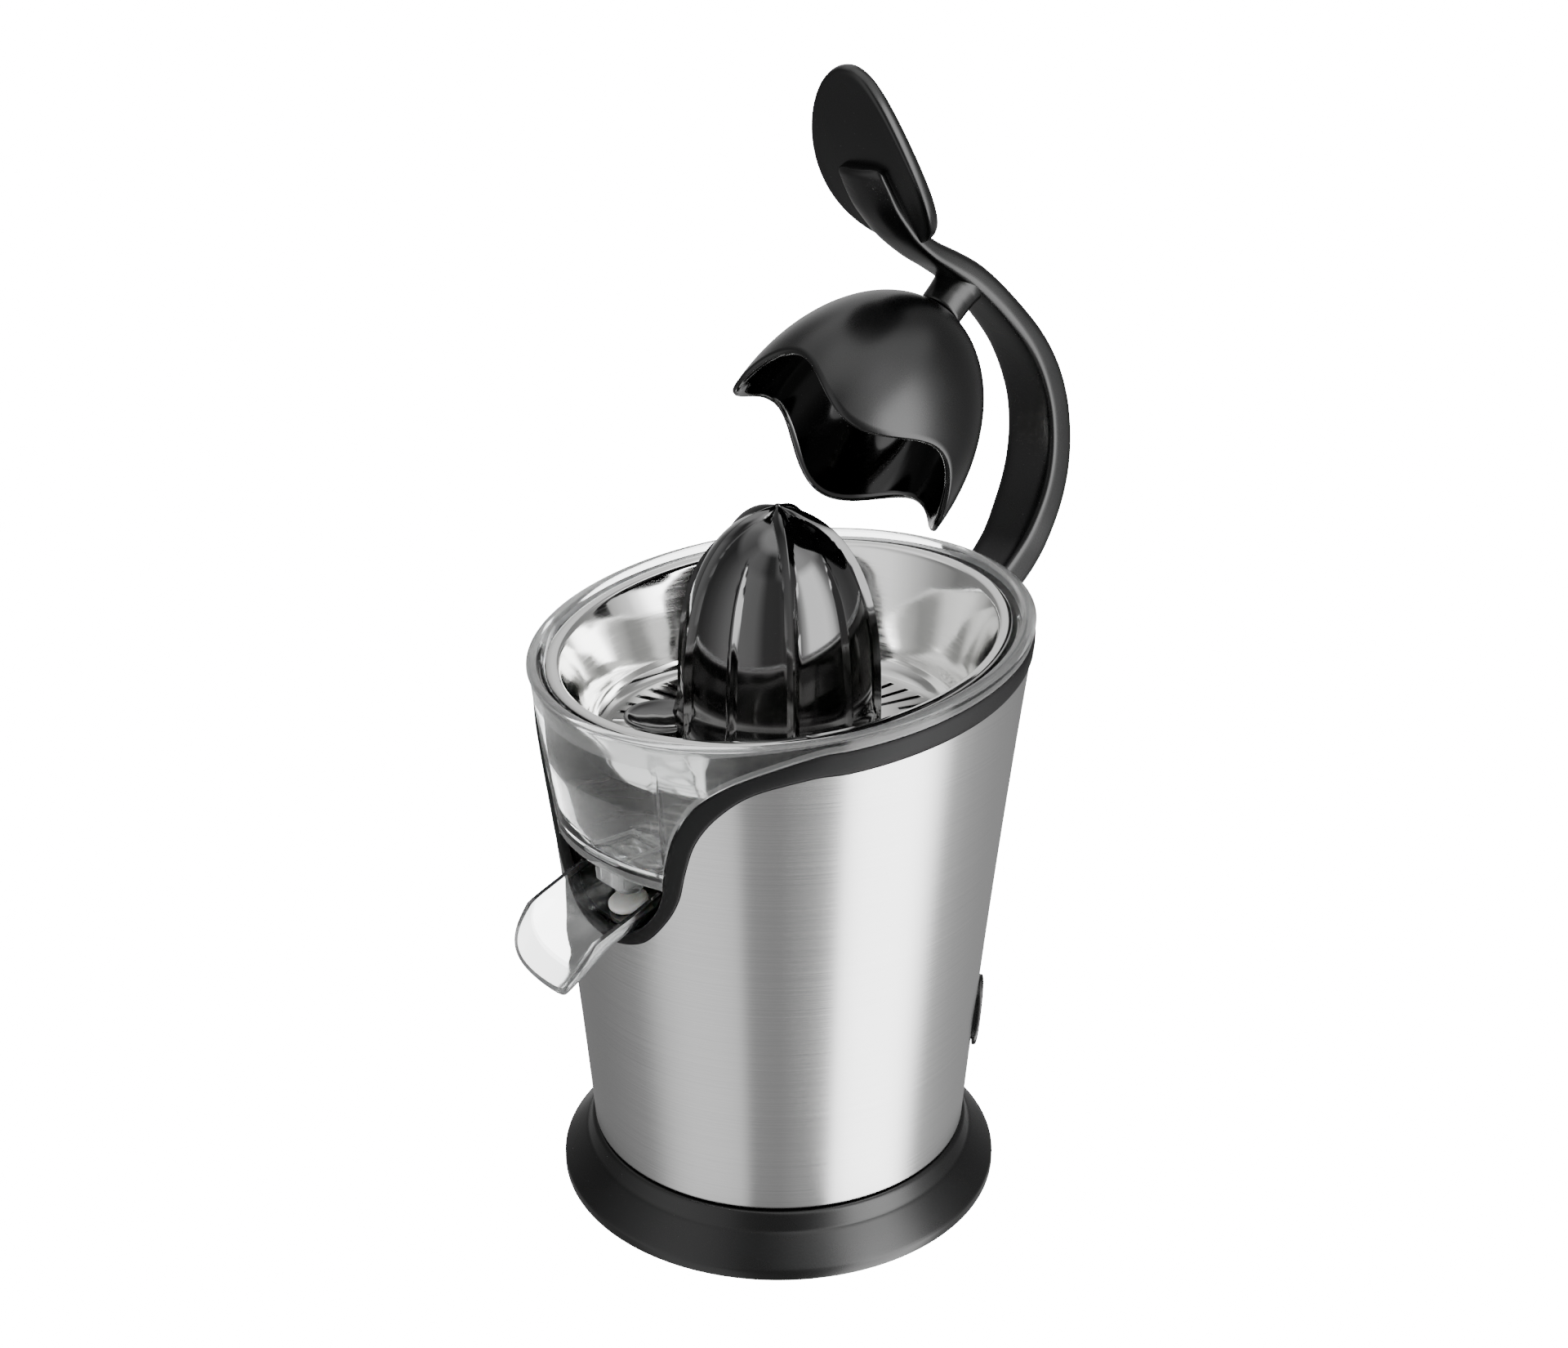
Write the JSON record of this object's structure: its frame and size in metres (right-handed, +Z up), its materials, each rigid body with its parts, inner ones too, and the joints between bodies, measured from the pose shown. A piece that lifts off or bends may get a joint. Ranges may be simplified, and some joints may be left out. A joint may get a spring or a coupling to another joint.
{
  "type": "citrus press juicer",
  "caption": "Tall tapered citrus press: steel drum on a black base, clear bowl with strainer and ribbed reamer, flip spout, and a rear lever arm with a scalloped press dome.",
  "frame": {"origin": "centre of the flat boss under the bottom plate, level with the rubber feet, on the drum's axis", "axes": "+Z up along the drum's axis; -Y is the front, where the spout is; +Y is the rear, where the lever arm is hinged; +X is the right-hand side seen from the front"},
  "size_m": [0.1758, 0.2413, 0.3998],
  "materials": {
    "satin_black_plastic": "fine-grained satin moulding",
    "gloss_black_plastic": "high gloss",
    "dome_black_plastic": "satin outside, glossy inside",
    "brushed_steel": "horizontal brushing",
    "polished_steel": "polished",
    "clear_plastic": "clear, polished",
    "black_rubber": "matte",
    "pale_silicone": "soft satin",
    "plain_steel": "plain turned steel",
    "white_nylon": "natural nylon"
  },
  "bodies": {
    "body": {"base_ring": "satin_black_plastic", "base_screw_1": "plain_steel", "base_screw_2": "plain_steel", "base_screw_3": "plain_steel", "body_shell": "brushed_steel", "bottom_plate": "satin_black_plastic", "collar_trim": "satin_black_plastic", "cord_gland": "black_rubber", "foot_1": "black_rubber", "foot_2": "black_rubber", "foot_3": "black_rubber", "foot_4": "black_rubber", "frame_post_1": "plain_steel", "frame_post_2": "plain_steel", "frame_post_3": "plain_steel", "gear_cover": "satin_black_plastic", "gear_tray": "satin_black_plastic", "hinge_bracket": "satin_black_plastic", "hinge_pin": "plain_steel", "idler_axle": "plain_steel", "inner_deck": "satin_black_plastic", "juice_bowl": "clear_plastic", "micro_switch": "satin_black_plastic", "motor_stator": "plain_steel", "pin_cap_left": "plain_steel", "pin_cap_right": "plain_steel", "press_spring": "plain_steel", "shaft_seal": "black_rubber", "spout_pin": "plain_steel", "spout_well": "satin_black_plastic", "strainer": "polished_steel", "switch_bezel": "satin_black_plastic"},
    "carriage": {"thrust_sleeve": "white_nylon"},
    "reamer": {"drive_shaft": "plain_steel", "reamer_cone": "gloss_black_plastic"},
    "output_wheel": {"output_gear": "white_nylon"},
    "idler": {"idler_gear": "white_nylon"},
    "rotor": {"motor_rotor": "plain_steel"},
    "arm": {"lever_arm": "satin_black_plastic", "palm_rest": "satin_black_plastic"},
    "dome": {"press_dome": "dome_black_plastic"},
    "spout": {"spout_trough": "clear_plastic", "drip_plug": "pale_silicone"},
    "rocker": {"power_rocker": "gloss_black_plastic"}
  },
  "joints": [
    {"name": "arm_lift", "type": "hinge", "parent": "body", "child": "arm", "pos_m": [0, 0.0955, 0.2029], "axis": [1, 0, 0], "range_deg": [0, 46]},
    {"name": "dome_tilt", "type": "hinge", "parent": "arm", "child": "dome", "pos_m": [0, 0.0793, 0.31689], "axis": [1, 0, 0], "range_deg": [-2, 2]},
    {"name": "reamer_press", "type": "slide", "parent": "body", "child": "carriage", "axis": [0, 0, -1], "range_m": [0, 0.0022], "stiffness_N_per_m": 2000, "springref_m": -0.003, "deforming": ["press_spring"]},
    {"name": "reamer_spin", "type": "hinge", "parent": "carriage", "child": "reamer", "pos_m": [0, 0, 0.2], "axis": [0, 0, 1], "continuous": true},
    {"name": "output_gear_spin", "type": "hinge", "parent": "body", "child": "output_wheel", "pos_m": [0, 0, 0.1095], "axis": [0, 0, 1], "continuous": true},
    {"name": "idler_spin", "type": "hinge", "parent": "body", "child": "idler", "pos_m": [0.0364, 0.01325, 0.105], "axis": [0, 0, 1], "continuous": true},
    {"name": "motor_spin", "type": "hinge", "parent": "body", "child": "rotor", "pos_m": [0.0092, 0.0259, 0.07], "axis": [0, 0, 1], "continuous": true},
    {"name": "spout_flip", "type": "hinge", "parent": "body", "child": "spout", "pos_m": [0, -0.0475, 0.1405], "axis": [-1, 0, 0], "range_deg": [0, 8]},
    {"name": "power_rocker_press", "type": "hinge", "parent": "body", "child": "rocker", "pos_m": [0.05078, 0.05078, 0.06408], "axis": [-0.7071, 0.7071, 0], "range_deg": [0, 8]}
  ],
  "couplings": [
    {"joint": "idler_spin", "follows": "motor_spin", "ratio": -0.33333},
    {"joint": "output_gear_spin", "follows": "motor_spin", "ratio": 0.10526},
    {"joint": "reamer_spin", "follows": "motor_spin", "ratio": 0.10526}
  ]
}
